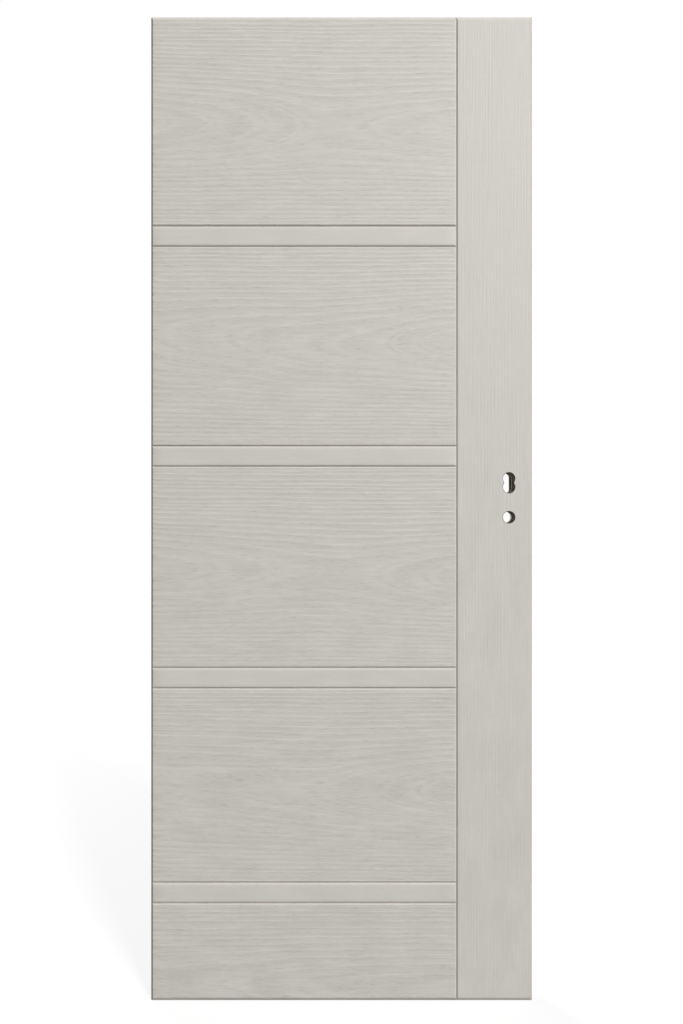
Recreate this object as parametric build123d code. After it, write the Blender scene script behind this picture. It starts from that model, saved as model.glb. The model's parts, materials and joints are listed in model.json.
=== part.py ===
from build123d import *
from math import radians, tan
import os

# Hollow-core interior door leaf, in millimetres.
# X runs from the hinge edge to the lock edge, Y from the front face to the back face, Z up.
# The origin is at the middle of the leaf's bottom edge.

# Leaf
leaf_width = 780.0
leaf_height = 2015.0
leaf_thickness = 40.0
facing_thickness = 6.0

# Bevels round both faces
side_bevel = 4.5
end_bevel = 7.5
bevel_depth = 4.0

# V grooves in both faces
groove_width = 6.3
groove_angle = 110.0
lock_band_width = 154.7
strip_height = 41.8
bottom_panel_height = 200.7
lower_panel_height = 397.8
middle_panel_height = 411.8
upper_panel_height = 408.3

# Frame between the facings
stile_width = 30.0
top_rail_height = 40.0
bottom_rail_height = 60.0

# Lock block beside the lock stile
lock_block_width = 100.0
lock_block_height = 400.0

# Drillings for the lever spindle and the lock cylinder
backset = 47.5
spindle_height = 990.0
lock_centre_distance = 70.5
drilling_diameter = 24.0
cylinder_lobe_spacing = 17.8
cylinder_cusp_radius = 6.0
cylinder_slot_width = 17.0

# Mortise for the lock case, and the recess for its faceplate
mortise_width = 16.5
mortise_height = 170.0
mortise_depth = 82.0
faceplate_width = 22.0
faceplate_height = 238.0
faceplate_depth = 3.0

# Core panel with vertical tubes
tube_diameter = 20.0
tube_web = 4.0

# Corner staples
staple_crown = 26.0
staple_leg = 12.0
staple_wire = 1.6
staple_inset = 14.0
staple_stagger = 3.5

# Places worked out from the sizes above
frame_thickness = leaf_thickness - 2 * facing_thickness
opening_width = leaf_width - 2 * stile_width
opening_height = leaf_height - top_rail_height - bottom_rail_height
groove_line_x = leaf_width / 2 - lock_band_width
drilling_x = leaf_width / 2 - backset
cylinder_height = spindle_height + lock_centre_distance
mortise_centre_height = spindle_height + lock_centre_distance / 2
stile_inner_x = leaf_width / 2 - stile_width
overrun = 1.0


def groove_heights():
    """Heights of the groove lines: one below and one above each narrow strip."""
    heights = []
    level = 0.0
    for panel in (bottom_panel_height, lower_panel_height, middle_panel_height, upper_panel_height):
        level += panel
        heights.append(level)
        level += strip_height
        heights.append(level)
    return heights


def v_cutter(length):
    """Triangular bar along +X that cuts a groove in the plane z = 0."""
    spread = tan(radians(groove_angle / 2))
    depth = groove_width / 2 / spread
    half = (depth + overrun) * spread
    profile = Plane.YZ * Polygon((-half, overrun), (half, overrun), (0, -depth), align=None)
    return extrude(profile, amount=length)


def facing_blank():
    """Grooved and bevelled sheet, lying with its outer face on z = 0 and its bottom edge on y = 0."""
    middle = leaf_height / 2
    sheet = Rectangle(leaf_width, leaf_height)
    raised = Rectangle(leaf_width - 2 * side_bevel, leaf_height - 2 * end_bevel)
    body = extrude(Pos(0, middle, -facing_thickness) * sheet, amount=facing_thickness - bevel_depth)
    body += loft([Pos(0, middle, -bevel_depth) * sheet, Pos(0, middle, 0) * raised], ruled=True)

    upright = v_cutter(leaf_height + 2 * overrun)
    body -= Pos(groove_line_x, -overrun, 0) * Rot(0, 0, 90) * upright
    left_end = -leaf_width / 2 - overrun
    cross = v_cutter(groove_line_x - left_end)
    for height in groove_heights():
        body -= Pos(left_end, height, 0) * cross
    return body


def through_cut(outline):
    """Cutter with the given outline in X and Z, running past both faces of the leaf."""
    return extrude(Plane.XZ * outline, amount=leaf_thickness, both=True)


def spindle_drilling():
    """Round hole for the lever spindle."""
    return through_cut(Pos(drilling_x, spindle_height) * Circle(drilling_diameter / 2))


def cylinder_drilling():
    """Figure of eight: two overlapping round holes, one above the other, with the cusps eased."""
    lobe = Circle(drilling_diameter / 2)
    rise = cylinder_lobe_spacing / 2
    cutter = through_cut(Pos(0, rise) * lobe + Pos(0, -rise) * lobe)
    cusps = cutter.edges().filter_by(Axis.Y).sort_by(lambda edge: abs(edge.center().Z))[:2]
    return Pos(drilling_x, 0, cylinder_height) * fillet(cusps, cylinder_cusp_radius)


def cylinder_slot(width):
    """Upright slot with round ends, as tall as the figure of eight and centred on it."""
    height = cylinder_lobe_spacing + drilling_diameter
    outline = Pos(drilling_x, cylinder_height) * Rot(0, 0, 90) * SlotOverall(height, width)
    return through_cut(outline)


def mortise():
    """Pocket for the lock case, open at the lock edge."""
    middle_x = leaf_width / 2 - mortise_depth / 2 + overrun / 2
    return Pos(middle_x, 0, mortise_centre_height) * Box(
        mortise_depth + overrun, mortise_width, mortise_height
    )


def faceplate_recess():
    """Shallow round-ended recess for the lock's faceplate, in the lock edge."""
    mouth = (leaf_width / 2 + overrun, 0, mortise_centre_height)
    inward = Plane(origin=mouth, x_dir=(0, 0, 1), z_dir=(-1, 0, 0))
    outline = SlotOverall(faceplate_height, faceplate_width)
    return extrude(inward * outline, amount=faceplate_depth + overrun)


def front_blank():
    """The sheet set upright as the front face, still without its drillings."""
    front = Plane(origin=(0, -leaf_thickness / 2, 0), x_dir=(1, 0, 0), z_dir=(0, -1, 0))
    return front.location * facing_blank()


def make_front_facing():
    return front_blank() - spindle_drilling() - cylinder_drilling()


def make_back_facing():
    blank = mirror(front_blank(), about=Plane.XZ)
    return blank - spindle_drilling() - cylinder_slot(cylinder_slot_width)


def frame_bar(width, height, centre_x, bottom_z):
    """Bar that fills the space between the facings."""
    return Pos(centre_x, 0, bottom_z + height / 2) * Box(width, frame_thickness, height)


def staple():
    """One staple, its crown along X and flush with y = 0, its legs pointing to +Y."""
    reach = staple_leg + staple_wire
    inside = Rectangle(staple_crown - 2 * staple_wire, staple_leg)
    outline = Pos(0, reach / 2) * Rectangle(staple_crown, reach)
    outline -= Pos(0, staple_wire + staple_leg / 2) * inside
    return extrude(outline, amount=staple_wire / 2, both=True)


def make_corner_staples():
    """Two staples at each corner of the frame, one from each face, set at different heights."""
    group = []
    for side in (-1, 1):
        for height in (staple_inset, leaf_height - staple_inset):
            for face in (-1, 1):
                level = height + face * staple_stagger
                place = Pos(side * stile_inner_x, face * frame_thickness / 2, level)
                turn = Rot(0, 0, 90 + 90 * face)
                group.append(place * turn * staple())
    return group


def lock_block_blank():
    """Outer form of the lock block."""
    centre_x = stile_inner_x - lock_block_width / 2
    bottom = mortise_centre_height - lock_block_height / 2
    return frame_bar(lock_block_width, lock_block_height, centre_x, bottom)


def make_lock_block():
    return lock_block_blank() - mortise() - spindle_drilling() - cylinder_slot(drilling_diameter)


def make_tubular_core():
    """Chipboard panel with upright tubes, cut out round the lock block."""
    panel = frame_bar(opening_width, opening_height, 0, bottom_rail_height)
    pitch = tube_diameter + tube_web
    count = int((opening_width - tube_web) // pitch)
    first_x = -(count - 1) * pitch / 2
    middle_z = bottom_rail_height + opening_height / 2
    tube = Cylinder(tube_diameter / 2, opening_height + 2 * overrun)
    tubes = [Pos(first_x + index * pitch, 0, middle_z) * tube for index in range(count)]
    return panel - tubes - lock_block_blank()


def make_lock_stile(staples):
    centre_x = leaf_width / 2 - stile_width / 2
    return frame_bar(stile_width, leaf_height, centre_x, 0) - mortise() - faceplate_recess() - staples


def make_hinge_stile(staples):
    centre_x = -leaf_width / 2 + stile_width / 2
    return frame_bar(stile_width, leaf_height, centre_x, 0) - staples


def make_rail(height, bottom_z, staples):
    return frame_bar(opening_width, height, 0, bottom_z) - staples


def make_nodes():
    """Every node of the leaf, by name."""
    staples = make_corner_staples()
    return {
        "front_facing": make_front_facing(),
        "back_facing": make_back_facing(),
        "hinge_stile": make_hinge_stile(staples),
        "lock_stile": make_lock_stile(staples),
        "top_rail": make_rail(top_rail_height, leaf_height - top_rail_height, staples),
        "bottom_rail": make_rail(bottom_rail_height, 0, staples),
        "lock_block": make_lock_block(),
        "tubular_core": make_tubular_core(),
        "corner_staples": Compound(children=staples),
    }


os.makedirs("parts", exist_ok=True)
for name, shape in make_nodes().items():
    export_step(shape, f"parts/{name}.step")
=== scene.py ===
import json
import math
from collections import namedtuple

import bmesh
import bpy
import numpy as np
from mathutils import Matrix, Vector, geometry


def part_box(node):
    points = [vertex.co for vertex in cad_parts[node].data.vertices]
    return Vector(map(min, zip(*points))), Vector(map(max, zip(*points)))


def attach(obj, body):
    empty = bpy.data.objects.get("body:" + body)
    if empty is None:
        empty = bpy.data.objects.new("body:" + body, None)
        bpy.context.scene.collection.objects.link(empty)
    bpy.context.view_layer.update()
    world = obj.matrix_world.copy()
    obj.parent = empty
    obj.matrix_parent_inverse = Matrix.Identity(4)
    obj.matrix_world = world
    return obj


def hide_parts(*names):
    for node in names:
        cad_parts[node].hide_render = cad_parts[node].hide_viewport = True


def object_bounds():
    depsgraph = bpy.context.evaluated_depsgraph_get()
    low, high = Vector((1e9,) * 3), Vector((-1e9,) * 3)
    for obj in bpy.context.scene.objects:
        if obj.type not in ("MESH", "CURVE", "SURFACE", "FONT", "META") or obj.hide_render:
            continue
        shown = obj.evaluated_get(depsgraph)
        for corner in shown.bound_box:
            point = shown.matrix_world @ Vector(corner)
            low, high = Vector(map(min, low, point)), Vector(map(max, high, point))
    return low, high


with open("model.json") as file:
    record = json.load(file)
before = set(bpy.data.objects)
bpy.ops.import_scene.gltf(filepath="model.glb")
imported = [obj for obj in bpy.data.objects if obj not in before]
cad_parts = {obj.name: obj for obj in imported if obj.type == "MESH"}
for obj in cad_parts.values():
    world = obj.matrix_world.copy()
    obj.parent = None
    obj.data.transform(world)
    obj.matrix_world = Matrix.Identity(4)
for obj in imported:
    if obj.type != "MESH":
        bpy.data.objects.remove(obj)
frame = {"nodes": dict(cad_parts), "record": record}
cad_low, cad_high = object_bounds()

# Everything is in metres. X runs from the hinge edge to the lock edge, Y from the front face to
# the back face, Z up, as in the frame.

# Sizes read from the frame
leaf_left = cad_low.x
leaf_right = cad_high.x
leaf_height = cad_high.z
leaf_half_thickness = cad_high.y
facing_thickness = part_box("front_facing")[1].y - cad_low.y
mounts = {mount["name"]: mount for mount in frame["record"]["mounts"]}
drilling_x, _, spindle_height = mounts["spindle_hole"]["pos_m"]
cylinder_height = mounts["cylinder_hole"]["pos_m"][2]
drilling_radius = mounts["spindle_hole"]["dims"]["r_mm"] / 1000

# Bevels and V grooves of both faces
side_bevel = 0.0045
end_bevel = 0.0075
bevel_depth = 0.0040
groove_half = 0.0063 / 2
groove_angle = 110.0
groove_slope = 1 / math.tan(math.radians(groove_angle / 2))
rim_softness = 0.00035
lock_band_width = 0.1547
strip_height = 0.0418
panel_heights = (0.2007, 0.3978, 0.4118, 0.4083)
groove_x = leaf_right - lock_band_width

# Lock cylinder drilling: a figure of eight in the front, a slot in the back
cylinder_lobe_rise = 0.0178 / 2
cylinder_cusp_radius = 0.0060
cylinder_slot_half_width = 0.0170 / 2
hole_chamfer = 0.0011

# Pressed grain
ring_spacing = 0.0074
ring_arch = 17.0
figure_reach = 0.120
ring_depth = 0.00030
ring_crest = 0.76
band_grain_depth = 0.00020
panel_cell_width = 0.022
panel_cell_height = 0.0009
strip_cell_height = 0.006
band_cell_width = 0.0011
band_cell_height = 0.025

# Edges that turn by more than this many degrees are creases
crease_angle = 20.0

# Camera
view_distance = 1.45
view_height = 1.0008
view_focal_length = 24.93
long_side_sensor = 36.0

# Studio
ambient_level = 0.05
floor_shade = 0.20
floor_lift = 0.78
floor_gap = 0.0002
floor_radius = 3.0
key_place = (11.0, -14.7, 13.1)
key_size = 6.5
key_level = 1.28
back_place = (-7.5, 8.0, 4.0)
back_size = 2.4
back_level = 1.0

# Lacquer, in sRGB
lacquer_colour = (200, 196, 190)
# Painted shade in the side bevels and V grooves: the lacquer is mixed towards a brown, more the deeper the point lies,
# up to the given share at the given depth. The grain's dark pores and ring lines are mixed towards the same brown.
shade_and_grain_colour = (130, 117, 98)
groove_shade_depth = 0.0024
groove_shade_share = 0.55
# Lacquer of the leaf's long edges, darker than the faces
edge_colour = (178, 170, 157)

# Material slots of a facing's mesh
LACQUER, RAW_BOARD, SANDED_BOARD = 0, 1, 2

# One panel's grain: a flat cut through cone-like growth rings.
# centre holds points (x, z) of the line about which the figure is symmetric, and
# arches holds points (x, rings) of how many rings deep the cut lies below that line.
Figure = namedtuple("Figure", "bottom top centre arches")


def groove_heights():
    """Heights of the groove lines: one below and one above each narrow strip."""
    heights = []
    level = 0.0
    for panel in panel_heights:
        level += panel
        heights.append(level)
        level += strip_height
        heights.append(level)
    return heights


def panel_figures():
    """The grain of the five panels, from the bottom one up."""
    levels = [0.0] + groove_heights() + [leaf_height]
    centres = (
        ((-0.39, 0.038), (-0.07, 0.030), (0.24, 0.026)),
        ((-0.39, 0.462), (-0.20, 0.448), (-0.03, 0.431), (0.24, 0.428)),
        ((-0.39, 0.888), (-0.02, 0.881), (0.10, 0.870), (0.24, 0.868)),
        ((-0.39, 1.363), (-0.23, 1.358), (-0.08, 1.342), (0.24, 1.347)),
        ((-0.39, 1.801), (-0.05, 1.789), (0.24, 1.787)),
    )
    arches = (
        ((-0.39, 18.6), (-0.22, 18.0), (-0.07, 17.0), (0.24, 16.3)),
        ((-0.39, 18.9), (-0.20, 18.6), (-0.03, 18.0), (0.07, 17.0), (0.24, 15.3)),
        ((-0.39, 15.2), (-0.26, 16.0), (-0.13, 17.0), (-0.02, 17.6), (0.06, 17.1), (0.24, 15.3)),
        ((-0.39, 19.1), (-0.23, 18.0), (-0.08, 17.0), (0.09, 16.0), (0.15, 15.0), (0.24, 14.2)),
        ((-0.39, 14.8), (-0.24, 16.0), (-0.16, 17.0), (-0.05, 18.4), (0.05, 18.0), (0.24, 16.9)),
    )
    return [Figure(*row) for row in zip(levels[::2], levels[1::2], centres, arches)]


def eased(x, points, reach=0.03):
    """Values at x of the line through the points, with its corners rounded over the reach."""
    stations = np.linspace(leaf_left - 4 * reach, leaf_right + 4 * reach, 400)
    line = np.interp(stations, *zip(*points))
    offsets = stations - stations[len(stations) // 2]
    bell = np.exp(-0.5 * (offsets / reach) ** 2)
    smooth = np.convolve(line, bell / bell.sum(), mode="same")
    return np.interp(x, stations, smooth)


def waves(x, z, length_x, length_z, seed, count=9):
    """Smooth random field of about -1 to 1, a sum of seeded sine waves of about those lengths."""
    random = np.random.default_rng(seed)
    total = np.zeros(np.broadcast(x, z).shape)
    for _ in range(count):
        turn, phase = random.uniform(0, 2 * math.pi, 2)
        stretch = random.uniform(0.6, 1.6)
        path = np.cos(turn) * x / length_x + np.sin(turn) * z / length_z
        total += np.sin(2 * math.pi * path * stretch + phase)
    return total / math.sqrt(count)


def panel_rings(x, z):
    """Growth ring number at each place of the panels; a ring's edge is where it is whole."""
    rings = np.zeros(np.shape(x))
    for index, figure in enumerate(panel_figures()):
        inside = (z >= figure.bottom) & (z <= figure.top)
        across, up = x[inside], z[inside]
        wobble = 0.0008 * waves(across, up, 0.30, 0.05, seed=index)
        wobble += 0.0004 * waves(across, up, 0.07, 0.02, seed=10 + index)
        middle = np.mean([height for _, height in figure.centre])
        bow = np.exp(-(((up - middle) / figure_reach) ** 2))
        centre = middle + bow * (eased(across, figure.centre) - middle)
        arches = ring_arch + bow * (eased(across, figure.arches) - ring_arch)
        number = np.hypot(arches, (up + wobble - centre) / ring_spacing)
        uneven = 0.14 * waves(number, 0 * number, 3.0, 1.0, seed=20 + index)
        rings[inside] = number + uneven
    return rings


def on_panel(z):
    """True where the height belongs to a panel and not to a narrow strip."""
    return np.any([(z > f.bottom) & (z < f.top) for f in panel_figures()], axis=0)


def ring_height(rings):
    """Pressed height of the grain from 0 to 1: a slow rise across each ring, then a quick fall."""
    part = rings - np.floor(rings)
    rise = np.where(part < ring_crest, part / ring_crest, (1 - part) / (1 - ring_crest))
    return rise * rise * (3 - 2 * rise)


def panel_grain_depth(x, z):
    """Depth of the pressed grain in the panels, nothing in the strips."""
    strength = 0.52 + 0.24 * z + 0.18 * waves(x, z, 0.12, 0.016, seed=40)
    return on_panel(z) * ring_depth * np.clip(strength, 0.3, 1) * (1 - ring_height(panel_rings(x, z)))


def band_grain_depth_at(x, z):
    """Depth of the fine upright grain of the lock band."""
    drift = 0.0006 * waves(x, z, 0.1, 0.8, seed=51)
    lines = 0.6 * waves(x + drift, z, 0.0060, 0.50, seed=52) + 0.5 * waves(x + drift, z, 0.0046, 0.22, seed=53)
    return band_grain_depth * np.clip(0.5 + 0.4 * lines, 0, 1)


def side_cut_depth(x, z):
    """Depth of the side bevels and the V grooves below the outer plane, negative beside them."""
    from_side = np.minimum(x - leaf_left, leaf_right - x)
    depth = bevel_depth * (1 - from_side / side_bevel)
    depth = np.maximum(depth, groove_slope * (groove_half - np.abs(x - groove_x)))
    for height in groove_heights():
        cross = groove_slope * (groove_half - np.abs(z - height))
        depth = np.where(x <= groove_x, np.maximum(depth, cross), depth)
    return depth


def cut_depth(x, z):
    """Depth of all bevels and V grooves, with softened rims."""
    from_end = np.minimum(z, leaf_height - z)
    depth = np.maximum(side_cut_depth(x, z), bevel_depth * (1 - from_end / end_bevel))
    soft = (depth + rim_softness) ** 2 / (4 * rim_softness)
    return np.where(np.abs(depth) < rim_softness, soft, np.maximum(depth, 0))


def facing_depth(x, z):
    """Depth of the finished face below the outer plane."""
    x, z = np.broadcast_arrays(np.asarray(x, float), np.asarray(z, float))
    grain = np.where(x < groove_x, panel_grain_depth(x, z), band_grain_depth_at(x, z))
    return np.maximum(cut_depth(x, z), grain)


def face_chain(x, z):
    """Chain of points on the finished face."""
    return x, z, facing_depth(x, z)


def divided(stops, step_between):
    """Stations through all the stops, with even steps between neighbours of at most the given size."""
    stations = [stops[0]]
    for start, end in zip(stops, stops[1:]):
        steps = max(1, math.ceil((end - start) / step_between(start, end) - 1e-6))
        stations += [start + (end - start) * k / steps for k in range(1, steps + 1)]
    return np.array(stations)


def arc(centre, radius, start, end, steps):
    """Points on an arc, the last one left out."""
    angles = np.linspace(start, end, steps, endpoint=False)
    return [(centre[0] + radius * math.cos(a), centre[1] + radius * math.sin(a)) for a in angles]


def spindle_outline(grow=0.0, steps=64):
    """Round outline, wider by grow on all sides."""
    return arc((drilling_x, spindle_height), drilling_radius + grow, 0, 2 * math.pi, steps)


def figure_of_eight_outline(grow=0.0, steps=40):
    """Two overlapping lobes, one above the other, with the cusps between them eased."""
    lobe, cusp = drilling_radius + grow, cylinder_cusp_radius - grow
    reach = lobe + cusp
    cusp_x = math.sqrt(reach**2 - cylinder_lobe_rise**2)
    tilt = math.asin(cylinder_lobe_rise / reach)
    upper = (drilling_x, cylinder_height + cylinder_lobe_rise)
    lower = (drilling_x, cylinder_height - cylinder_lobe_rise)
    left = (drilling_x - cusp_x, cylinder_height)
    right = (drilling_x + cusp_x, cylinder_height)
    outline = arc(upper, lobe, -tilt, math.pi + tilt, steps)
    outline += arc(left, cusp, tilt, -tilt, steps // 4)
    outline += arc(lower, lobe, math.pi - tilt, 2 * math.pi + tilt, steps)
    outline += arc(right, cusp, math.pi + tilt, math.pi - tilt, steps // 4)
    return outline


def slot_outline(grow=0.0, steps=32):
    """Upright slot with round ends, as tall as the figure of eight."""
    rise = cylinder_lobe_rise + drilling_radius - cylinder_slot_half_width
    half_width = cylinder_slot_half_width + grow
    upper = (drilling_x, cylinder_height + rise)
    lower = (drilling_x, cylinder_height - rise)
    outline = arc(upper, half_width, 0, math.pi, steps)
    outline += [(drilling_x - half_width, upper[1])]
    outline += arc(lower, half_width, math.pi, 2 * math.pi, steps)
    outline += [(drilling_x + half_width, lower[1])]
    return outline


class Shell:
    """Vertices and faces of one facing, gathered part by part, with the depth below the outer plane."""

    def __init__(self):
        self.points = []
        self.faces = []
        self.materials = []

    def add_points(self, x, z, depth):
        """Adds points and returns their numbers, in the arrays' own shape."""
        x, z, depth = np.broadcast_arrays(x, z, depth)
        first = len(self.points)
        self.points += list(zip(x.ravel(), depth.ravel(), z.ravel()))
        return np.arange(first, first + x.size).reshape(x.shape)

    def add_faces(self, faces, material=LACQUER):
        self.faces += [tuple(int(corner) for corner in face) for face in faces]
        self.materials += [material] * len(faces)

    def add_grid(self, columns, rows, left_out=None):
        """The finished face over a grid; left_out is a box (left, right, bottom, top) without faces."""
        x, z = np.meshgrid(columns, rows, indexing="ij")
        numbers = self.add_points(x, z, facing_depth(x, z))
        corners = (numbers[:-1, :-1], numbers[1:, :-1], numbers[1:, 1:], numbers[:-1, 1:])
        quads = np.stack(corners, axis=-1).reshape(-1, 4)
        if left_out:
            left, right, bottom, top = left_out
            middle_x = ((columns[:-1] + columns[1:]) / 2)[:, None]
            middle_z = ((rows[:-1] + rows[1:]) / 2)[None, :]
            within = (middle_x > left) & (middle_x < right) & (middle_z > bottom) & (middle_z < top)
            quads = quads[~within.ravel()]
        self.add_faces(quads)

    def add_strip(self, chain, other, material=LACQUER):
        """Triangles between two chains (x, z, depth) of points that run the same way."""
        first, second = self.add_points(*chain), self.add_points(*other)
        runs = []
        for x, z, _ in (chain, other):
            x, z = np.broadcast_arrays(x, z)
            runs.append(np.append(np.hypot(x - x[0], z - z[0]), np.inf))
        triangles = []
        i = j = 0
        while i < len(first) - 1 or j < len(second) - 1:
            if runs[0][i + 1] <= runs[1][j + 1]:
                triangles.append((first[i], second[j], first[i + 1]))
                i += 1
            else:
                triangles.append((first[i], second[j], second[j + 1]))
                j += 1
        self.add_faces(triangles, material)

    def add_wall(self, outline):
        """Wall of a drilling, from its broken edge at the face through to the inner side."""
        wide_x, wide_z = np.transpose(outline(hole_chamfer))
        x, z = np.transpose(outline())
        outer = self.add_points(wide_x, wide_z, facing_depth(wide_x, wide_z))
        rim = self.add_points(x, z, hole_chamfer)
        inner = self.add_points(x, z, facing_thickness)
        for near, far in ((outer, rim), (rim, inner)):
            quads = np.stack((near, np.roll(near, -1), np.roll(far, -1), far), axis=-1)
            self.add_faces(quads, RAW_BOARD)

    def add_patch(self, border, outlines, inner_points, depth_at, material=LACQUER):
        """Triangulated region inside the border and outside the outlines."""
        loops = [border] + outlines
        places = [Vector(p) for loop in loops for p in loop] + [Vector(p) for p in inner_points]
        edges, faces, first = [], [], 0
        for loop in loops:
            numbers = list(range(first, first + len(loop)))
            edges += list(zip(numbers, numbers[1:] + numbers[:1]))
            faces.append(numbers)
            first += len(loop)
        verts, _, triangles, _, _, owners = geometry.delaunay_2d_cdt(places, edges, faces, 1, 1e-9)
        x, z = np.transpose([tuple(v) for v in verts])
        numbers = self.add_points(x, z, depth_at(x, z))
        kept = [numbers[list(t)] for t, owner in zip(triangles, owners) if owner == [0]]
        self.add_faces(kept, material)


def outline_clear(x, z, outline, clearance):
    """True where the place is at least the clearance away from the outline's points."""
    points = np.array(outline)
    gaps = np.hypot(x[:, None] - points[:, 0], z[:, None] - points[:, 1])
    return gaps.min(axis=1) > clearance


def rim_stops():
    """Distances from a groove's middle to its softened rim, with the middle itself."""
    softened = rim_softness / groove_slope
    return [0.0] + [groove_half + softened * k for k in (-1, 0, 1)]


def end_stops():
    """Heights of the bevels at both ends, with their softened rims."""
    softened = rim_softness * end_bevel / bevel_depth
    low = [0.0, 0.0013] + [end_bevel + softened * k for k in (-1, 0, 1)]
    return low + [leaf_height - gap for gap in reversed(low)]


def panel_rows():
    """Row heights of the panel field: fine in the panels, wide in the strips, on every crease."""
    creases = set(end_stops())
    for height in groove_heights():
        creases |= {height - gap for gap in rim_stops()} | {height + gap for gap in rim_stops()}

    def step(start, end):
        return panel_cell_height if on_panel((start + end) / 2) else strip_cell_height

    return divided(sorted(creases), step)


def make_facing(name, outward, cylinder_outline):
    """One facing: the grooved, bevelled sheet with its pressed grain and its two drillings.

    outward is -1 for the front and 1 for the back; the back has the front's design, mirrored.
    """
    shell = Shell()
    softened = rim_softness * side_bevel / bevel_depth
    side_stops = [0.0, side_bevel * (1 - groove_slope * groove_half / bevel_depth)]
    side_stops += [side_bevel + softened * k for k in (-1, 0, 1)]
    groove_edge = groove_x + rim_stops()[-1]

    field_stops = [leaf_left + gap for gap in side_stops]
    field_stops += [groove_x - gap for gap in sorted(rim_stops() + [groove_half / 3, groove_half / 1.5], reverse=True)]
    field_columns = divided(field_stops, lambda start, end: panel_cell_width)
    field_rows = panel_rows()
    shell.add_grid(field_columns, field_rows)

    patch_left = drilling_x - 0.020
    patch_right = drilling_x + 0.020
    patch_bottom = spindle_height - 0.020
    patch_top = cylinder_height + 0.030
    band_stops = [groove_edge, patch_left, patch_right]
    band_stops += [leaf_right - gap for gap in reversed(side_stops)]
    band_columns = divided(band_stops, lambda start, end: band_cell_width)
    band_rows = divided(sorted(end_stops() + [patch_bottom, patch_top]), lambda start, end: band_cell_height)
    shell.add_grid(band_columns, band_rows, (patch_left, patch_right, patch_bottom, patch_top))

    rims = [groove_x + gap for gap in rim_stops()]
    for near, far in zip(rims[1:], rims[2:]):
        shell.add_strip(face_chain(near, band_rows), face_chain(far, band_rows))
    shell.add_strip(face_chain(groove_x, field_rows), face_chain(rims[1], band_rows))

    drillings = (spindle_outline, cylinder_outline)
    rim_outlines = [outline(hole_chamfer) for outline in drillings]
    across = band_columns[(band_columns > patch_left - 1e-6) & (band_columns < patch_right + 1e-6)]
    up = band_rows[(band_rows > patch_bottom - 1e-6) & (band_rows < patch_top + 1e-6)]
    border = [(x, patch_bottom) for x in across]
    border += [(patch_right, z) for z in up[1:]]
    border += [(x, patch_top) for x in across[-2::-1]]
    border += [(patch_left, z) for z in up[-2:0:-1]]
    x, z = np.meshgrid(across[1:-1], np.arange(patch_bottom + 0.003, patch_top - 0.002, 0.004))
    x, z = x.ravel(), z.ravel()
    free = [outline_clear(x, z, outline, 0.0012) for outline in rim_outlines]
    free = np.all(free, axis=0)
    inner_points = list(zip(x[free], z[free]))
    shell.add_patch(border, rim_outlines, inner_points, facing_depth)
    for outline in drillings:
        shell.add_wall(outline)

    edge_columns = np.concatenate([field_columns, rims[1:-1], band_columns])
    corners = [(leaf_left, 0), (leaf_right, 0), (leaf_right, leaf_height), (leaf_left, leaf_height)]
    inner_outlines = [outline() for outline in drillings]
    shell.add_patch(corners, inner_outlines, [], lambda x, z: facing_thickness + 0 * x, SANDED_BOARD)
    for level in (0.0, leaf_height):
        rear = (np.array([leaf_left, leaf_right]), level, facing_thickness)
        shell.add_strip(face_chain(edge_columns, level), rear, RAW_BOARD)
    for side, rows in ((leaf_left, field_rows), (leaf_right, band_rows)):
        rear = (side, np.array([0.0, leaf_height]), facing_thickness)
        shell.add_strip(face_chain(side, rows), rear)

    points = np.array(shell.points)
    points[:, 1] = outward * (leaf_half_thickness - points[:, 1])
    mesh = bpy.data.meshes.new(name)
    mesh.from_pydata(points.tolist(), [], shell.faces)
    mesh.polygons.foreach_set("material_index", shell.materials)
    return finished(name, mesh)


def finished(name, mesh):
    """Welds the mesh, turns its faces outward, smooths it between its creases and links it."""
    work = bmesh.new()
    work.from_mesh(mesh)
    bmesh.ops.remove_doubles(work, verts=work.verts, dist=2e-6)
    bmesh.ops.recalc_face_normals(work, faces=work.faces)
    work.to_mesh(mesh)
    work.free()
    mesh.shade_smooth()
    mesh.set_sharp_from_angle(angle=math.radians(crease_angle))
    piece = bpy.data.objects.new(name, mesh)
    bpy.context.scene.collection.objects.link(piece)
    return piece


def store_grain(piece):
    """Writes each point's growth ring number, whether it is on a panel, and how deep it lies in a side bevel or V
    groove, for the material to read.
    """
    count = len(piece.data.vertices)
    places = np.empty(count * 3)
    piece.data.vertices.foreach_get("co", places)
    x, _, z = places.reshape(-1, 3).T
    rings = piece.data.attributes.new("rings", "FLOAT", "POINT")
    rings.data.foreach_set("value", panel_rings(x, z))
    panel = piece.data.attributes.new("panel", "FLOAT", "POINT")
    panel.data.foreach_set("value", (on_panel(z) & (x < groove_x)).astype(float))
    # How deep the point lies in a side bevel or V groove, as a share of the depth of full painted shade: the mask of
    # the painted shade there
    cut = piece.data.attributes.new("cut", "FLOAT", "POINT")
    cut.data.foreach_set("value", np.clip(side_cut_depth(x, z) / groove_shade_depth, 0, 1))


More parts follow.
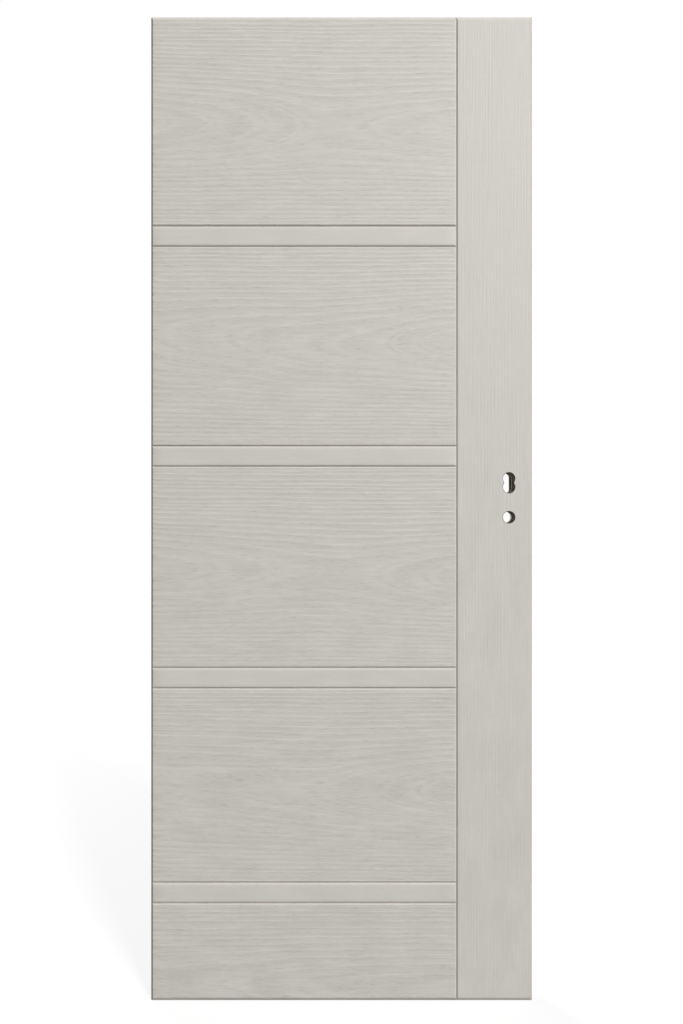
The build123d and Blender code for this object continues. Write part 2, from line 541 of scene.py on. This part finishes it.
class Graph:
    """Short calls for building one material's nodes."""

    def __init__(self, name):
        self.material = bpy.data.materials.new(name)
        self.material.use_nodes = True
        self.nodes = self.material.node_tree.nodes
        self.links = self.material.node_tree.links
        self.shader = self.nodes["Principled BSDF"]
        self.places = None

    def node(self, kind, inputs=(), **settings):
        """Adds a node and gives its inputs a value or a link each."""
        made = self.nodes.new(kind)
        for key, value in settings.items():
            setattr(made, key, value)
        for socket, value in dict(inputs).items():
            if isinstance(value, bpy.types.NodeSocket):
                self.links.new(value, made.inputs[socket])
            else:
                made.inputs[socket].default_value = value
        return made

    def math(self, operation, *values):
        return self.node("ShaderNodeMath", enumerate(values), operation=operation).outputs[0]

    def place(self):
        """The place in the frame, split into x, y and z."""
        if self.places is None:
            where = self.node("ShaderNodeTexCoord").outputs["Object"]
            self.places = self.node("ShaderNodeSeparateXYZ", {0: where}).outputs
        return self.places

    def vector(self, x, y, z):
        return self.node("ShaderNodeCombineXYZ", {0: x, 1: y, 2: z}).outputs[0]

    def noise(self, vector, detail=2.0, roughness=0.5):
        """Noise of about 0 to 1 with one lump per unit of the vector."""
        inputs = {"Vector": vector, "Scale": 1.0, "Detail": detail, "Roughness": roughness}
        return self.node("ShaderNodeTexNoise", inputs).outputs["Fac"]

    def ramp(self, value, low, high, out_low=0.0, out_high=1.0):
        """Smooth step of the value from low to high, given out from out_low to out_high."""
        inputs = {"Value": value, "From Min": low, "From Max": high, "To Min": out_low, "To Max": out_high}
        return self.node("ShaderNodeMapRange", inputs, interpolation_type="SMOOTHSTEP").outputs[0]

    def mix(self, factor, first, second):
        """Mixes two colours."""
        made = self.node("ShaderNodeMix", {"Factor": factor}, data_type="RGBA")
        for socket, value in ((6, first), (7, second)):
            if isinstance(value, bpy.types.NodeSocket):
                self.links.new(value, made.inputs[socket])
            else:
                made.inputs[socket].default_value = value
        return made.outputs[2]

    def attribute(self, name):
        return self.node("ShaderNodeAttribute", attribute_name=name).outputs["Fac"]

    def set(self, **inputs):
        """Sets or links the shader's inputs, written with _ for a space."""
        for name, value in inputs.items():
            socket = self.shader.inputs[name.replace("_", " ")]
            if isinstance(value, bpy.types.NodeSocket):
                self.links.new(value, socket)
            else:
                socket.default_value = value

    def bump(self, height, distance, strength=1.0):
        """Bump from a height of 0 to 1, with that much real height between them."""
        inputs = {"Height": height, "Distance": distance, "Strength": strength}
        self.set(Normal=self.node("ShaderNodeBump", inputs).outputs[0])


def colour(red, green, blue):
    """An sRGB colour from 0 to 255 as the linear colour that shaders take."""
    values = [v / 255 for v in (red, green, blue)]
    return [v / 12.92 if v <= 0.04045 else ((v + 0.055) / 1.055) ** 2.4 for v in values] + [1.0]


def make_lacquer():
    """Satin greige lacquer over pressed grain, with fine dark pores along the grain and painted shade in the side
    bevels and V grooves.
    """
    g = Graph("facing_lacquer")
    x, y, z = g.place()
    panel = g.attribute("panel")
    rings = g.attribute("rings")
    band = g.math("GREATER_THAN", x, groove_x)
    level = g.math("SUBTRACT", 1.0, band)
    along = g.math("ADD", g.math("MULTIPLY", x, level), g.math("MULTIPLY", z, band))
    across = g.math("ADD", g.math("MULTIPLY", z, level), g.math("MULTIPLY", x, band))
    side = g.math("MULTIPLY", y, 40.0)

    part = g.math("FRACT", rings)
    early = g.math("MULTIPLY", g.ramp(part, 0.10, 0.55), g.ramp(part, 0.70, 0.95, 1.0, 0.0))
    streaks = g.noise(
        g.vector(g.math("DIVIDE", along, 0.060), g.math("DIVIDE", across, 0.0050), side), 3.0, 0.72
    )
    fine = g.noise(g.vector(g.math("DIVIDE", along, 0.018), g.math("DIVIDE", across, 0.0013), side), 3.0, 0.6)
    dashes = g.noise(g.vector(g.math("DIVIDE", along, 0.030), g.math("DIVIDE", across, 0.0040), side), 2.0)
    speckle = g.noise(g.vector(*[g.math("DIVIDE", v, 0.0045) for v in (x, y, z)]), 2.0)
    clouds = g.noise(g.vector(g.math("DIVIDE", along, 0.09), g.math("DIVIDE", across, 0.035), side), 3.0)

    pores = g.ramp(fine, 0.52, 0.70)
    in_ring = g.math("ADD", 0.30, g.math("MULTIPLY", early, 0.70))
    amount = g.math("ADD", 0.46, g.math("MULTIPLY", panel, 0.54))
    pores = g.math("MULTIPLY", g.math("MULTIPLY", pores, in_ring), amount)
    bright = g.math("MULTIPLY", g.math("SUBTRACT", streaks, 0.5), amount)
    deepest = g.math("ADD", g.ramp(part, 0.0, 0.16, 1.0, 0.0), g.ramp(part, 0.90, 1.0))
    crest = g.math("MULTIPLY", g.ramp(part, 0.70, 0.80), g.ramp(part, 0.84, 0.94, 1.0, 0.0))
    broken = g.math("MULTIPLY", g.ramp(dashes, 0.38, 0.60), panel)
    dark = g.math("MULTIPLY", pores, 0.14)
    dark = g.math("ADD", dark, g.math("MULTIPLY", g.math("MULTIPLY", early, panel), 0.030))
    dark = g.math("ADD", dark, g.math("MULTIPLY", g.math("MULTIPLY", deepest, broken), 0.080))
    tone = g.math("ADD", g.math("MULTIPLY", g.math("SUBTRACT", clouds, 0.5), 0.15), 1.0)
    tone = g.math("ADD", tone, g.math("MULTIPLY", g.math("SUBTRACT", speckle, 0.5), 0.05))
    tone = g.math("ADD", tone, g.math("MULTIPLY", bright, 0.24))
    tone = g.math("ADD", tone, g.math("MULTIPLY", g.math("MULTIPLY", crest, broken), 0.032))
    tone = g.math("SUBTRACT", tone, g.math("MULTIPLY", dark, 0.5))
    # Painted shade in the side bevels and V grooves, stronger the deeper they go, added to the grain's dark pores and
    # ring lines; both mix the lacquer towards the same brown.
    shade_and_grain = g.math("ADD", g.ramp(g.attribute("cut"), 0.20, 0.95, 0.0, groove_shade_share), dark)
    base = g.mix(shade_and_grain, colour(*lacquer_colour), colour(*shade_and_grain_colour))
    g.set(Base_Color=g.node("ShaderNodeVectorMath", {0: base, "Scale": tone}, operation="SCALE").outputs[0])
    g.set(Roughness=g.ramp(clouds, 0.3, 0.7, 0.56, 0.64))
    relief = g.math("SUBTRACT", g.math("ADD", 0.6, bright), g.math("MULTIPLY", pores, 0.6))
    g.bump(relief, 0.00022)
    return g.material


def make_raw_board():
    """Raw fibreboard as a drill or saw leaves it: brown, with short pale and dark fibres."""
    g = Graph("facing_board_raw")
    x, y, z = g.place()
    fibres = g.noise(g.vector(*[g.math("DIVIDE", v, s) for v, s in ((x, 0.0009), (y, 0.0004), (z, 0.0009))]), 4.0, 0.6)
    lumps = g.noise(g.vector(*[g.math("DIVIDE", v, 0.004) for v in (x, y, z)]), 2.0)
    g.set(Base_Color=g.mix(g.ramp(fibres, 0.3, 0.72), colour(72, 63, 51), colour(108, 96, 80)))
    g.set(Roughness=g.ramp(lumps, 0.3, 0.7, 0.78, 0.92))
    g.bump(fibres, 0.00015)
    return g.material


def make_softwood(name, along, edge_lacquer=False):
    """Planed spruce. along is 0 for a bar along X and 2 for one along Z; its ends show the rings.

    With edge_lacquer the leaf's long edges are lacquered in edge_colour, darker than the faces.
    """
    g = Graph(name)
    x, y, z = g.place()
    length, width = (x, z) if along == 0 else (z, x)
    bend = g.noise(g.vector(g.math("DIVIDE", length, 0.35), g.math("DIVIDE", width, 0.08), 0.0), 1.0)
    from_pith = g.math("ADD", g.math("PINGPONG", width, 0.07), g.math("MULTIPLY", bend, 0.012))
    from_pith = g.math("MULTIPLY", from_pith, from_pith)
    offset = g.math("ADD", y, 0.034)
    offset = g.math("MULTIPLY", offset, offset)
    ring = g.math("DIVIDE", g.math("SQRT", g.math("ADD", from_pith, offset)), 0.0026)
    part = g.math("FRACT", ring)
    late = g.math("MULTIPLY", g.ramp(part, 0.35, 0.92), g.ramp(part, 0.94, 1.0, 1.0, 0.0))
    fibre_places = g.vector(
        g.math("DIVIDE", length, 0.03), g.math("DIVIDE", width, 0.0006), g.math("DIVIDE", y, 0.0006)
    )
    fibres = g.noise(fibre_places, 3.0)
    wood = g.mix(late, colour(222, 204, 172), colour(196, 164, 122))
    wood = g.mix(g.ramp(fibres, 0.35, 0.8, 0.0, 0.35), wood, colour(204, 178, 138))
    roughness = g.ramp(fibres, 0.3, 0.7, 0.55, 0.68)
    relief = g.math("ADD", g.math("MULTIPLY", late, 0.5), g.math("MULTIPLY", fibres, 0.5))
    if edge_lacquer:
        edge = g.math("GREATER_THAN", g.math("ABSOLUTE", x), leaf_right - 0.0004)
        wood = g.mix(edge, wood, colour(*edge_colour))
        bare = g.math("SUBTRACT", 1.0, edge)
        roughness = g.math("ADD", g.math("MULTIPLY", bare, 0.17), g.math("MULTIPLY", relief, 0.06))
        roughness = g.math("ADD", roughness, 0.40)
    g.set(Base_Color=wood, Roughness=roughness)
    g.bump(relief, 0.00008)
    return g.material


def make_sanded_board():
    """Sanded fibreboard, paler than a cut edge."""
    g = Graph("fibreboard_sanded")
    x, y, z = g.place()
    fibres = g.noise(g.vector(*[g.math("DIVIDE", v, 0.0012) for v in (x, y, z)]), 4.0, 0.6)
    g.set(Base_Color=g.mix(g.ramp(fibres, 0.3, 0.72), colour(150, 141, 126), colour(180, 170, 153)))
    g.set(Roughness=g.ramp(fibres, 0.3, 0.7, 0.78, 0.92))
    g.bump(fibres, 0.00015)
    return g.material


def make_chipboard():
    """Extruded chipboard: flat chips of different brown, lying across the tubes."""
    g = Graph("core_chipboard_raw")
    x, y, z = g.place()
    places = g.vector(g.math("DIVIDE", x, 0.006), g.math("DIVIDE", y, 0.004), g.math("DIVIDE", z, 0.0025))
    chips = g.node("ShaderNodeTexVoronoi", {"Vector": places, "Scale": 1.0})
    shade = g.node("ShaderNodeSeparateColor", {0: chips.outputs["Color"]}).outputs[0]
    g.set(Base_Color=g.mix(shade, colour(176, 138, 92), colour(222, 190, 144)))
    g.set(Roughness=g.ramp(shade, 0.0, 1.0, 0.75, 0.92))
    g.bump(chips.outputs["Distance"], 0.0004)
    return g.material


def make_staple_wire():
    """Galvanised wire with a faint mottle."""
    g = Graph("staple_wire_zinc")
    x, y, z = g.place()
    mottle = g.noise(g.vector(*[g.math("DIVIDE", v, 0.0015) for v in (x, y, z)]), 2.0)
    g.set(Base_Color=g.mix(mottle, colour(150, 153, 156), colour(196, 198, 200)), Metallic=1.0)
    g.set(Roughness=g.ramp(mottle, 0.3, 0.7, 0.28, 0.42))
    g.bump(mottle, 0.00005)
    return g.material


def add_light(name, place, aim, size, level, tint=(1.0, 1.0, 1.0)):
    """Square soft light. level is how bright a white surface at the aim, turned to the light, comes out."""
    data = bpy.data.lights.new(name, "AREA")
    data.size = size
    data.color = tint
    reach = Vector(place) - Vector(aim)
    data.energy = level * math.pi**2 * reach.length_squared
    lamp = bpy.data.objects.new(name, data)
    bpy.context.scene.collection.objects.link(lamp)
    lamp.location = place
    lamp.rotation_euler = reach.to_track_quat("Z", "Y").to_euler()


def add_camera():
    data = bpy.data.cameras.new("photo_view")
    data.sensor_width = long_side_sensor
    data.lens = view_focal_length
    camera = bpy.data.objects.new("photo_view", data)
    bpy.context.scene.collection.objects.link(camera)
    camera.location = (0, cad_low.y - view_distance, view_height)
    camera.rotation_euler = (math.pi / 2, 0, 0)
    bpy.context.scene.camera = camera


def add_floor():
    """Pale floor that the camera sees as white where nothing shades it."""
    mesh = bpy.data.meshes.new("floor")
    work = bmesh.new()
    bmesh.ops.create_circle(work, cap_ends=True, segments=96, radius=floor_radius)
    work.to_mesh(mesh)
    work.free()
    floor = bpy.data.objects.new("floor", mesh)
    bpy.context.scene.collection.objects.link(floor)
    floor.location.z = cad_low.z - floor_gap
    g = Graph("floor")
    seen = g.node("ShaderNodeLightPath").outputs["Is Camera Ray"]
    g.set(Base_Color=[floor_shade] * 3 + [1.0], Roughness=0.9, Emission_Color=(1.0, 1.0, 1.0, 1.0))
    g.set(Emission_Strength=g.math("MULTIPLY", seen, floor_lift))
    mesh.materials.append(g.material)


def add_world():
    """Even light from all round, seen as white."""
    world = bpy.data.worlds.new("studio")
    bpy.context.scene.world = world
    world.use_nodes = True
    nodes, links = world.node_tree.nodes, world.node_tree.links
    back = nodes["Background"]
    path = nodes.new("ShaderNodeLightPath")
    seen = path.outputs["Is Camera Ray"]
    for kind in ("Is Glossy Ray", "Is Transmission Ray"):
        either = nodes.new("ShaderNodeMath")
        either.operation = "MAXIMUM"
        links.new(seen, either.inputs[0])
        links.new(path.outputs[kind], either.inputs[1])
        seen = either.outputs[0]
    level = nodes.new("ShaderNodeMapRange")
    level.inputs["To Min"].default_value = ambient_level
    level.inputs["To Max"].default_value = 1.0
    links.new(seen, level.inputs["Value"])
    links.new(level.outputs[0], back.inputs["Strength"])
    back.inputs["Color"].default_value = (1.0, 1.0, 1.0, 1.0)


bpy.context.scene.view_settings.view_transform = "Standard"
add_camera()
add_world()
add_floor()
add_light("key", key_place, (0, 0, 1.0), key_size, key_level)
add_light("back_fill", back_place, (0, 0, 1.0), back_size, back_level)

facing_materials = (make_lacquer(), make_raw_board(), make_sanded_board())
facings = (
    ("front_facing", "front_facing_pressed", -1, figure_of_eight_outline),
    ("back_facing", "back_facing_pressed", 1, slot_outline),
)
for node, name, outward, outline in facings:
    piece = make_facing(name, outward, outline)
    store_grain(piece)
    for material in facing_materials:
        piece.data.materials.append(material)
    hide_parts(node)
    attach(piece, "root")

stile_wood = make_softwood("stile_softwood", 2, edge_lacquer=True)
rail_wood = make_softwood("rail_softwood", 0)
finishes = {
    "hinge_stile": stile_wood,
    "lock_stile": stile_wood,
    "top_rail": rail_wood,
    "bottom_rail": rail_wood,
    "lock_block": facing_materials[SANDED_BOARD],
    "tubular_core": make_chipboard(),
    "corner_staples": make_staple_wire(),
}
for node, material in finishes.items():
    frame["nodes"][node].material_slots[0].material = material
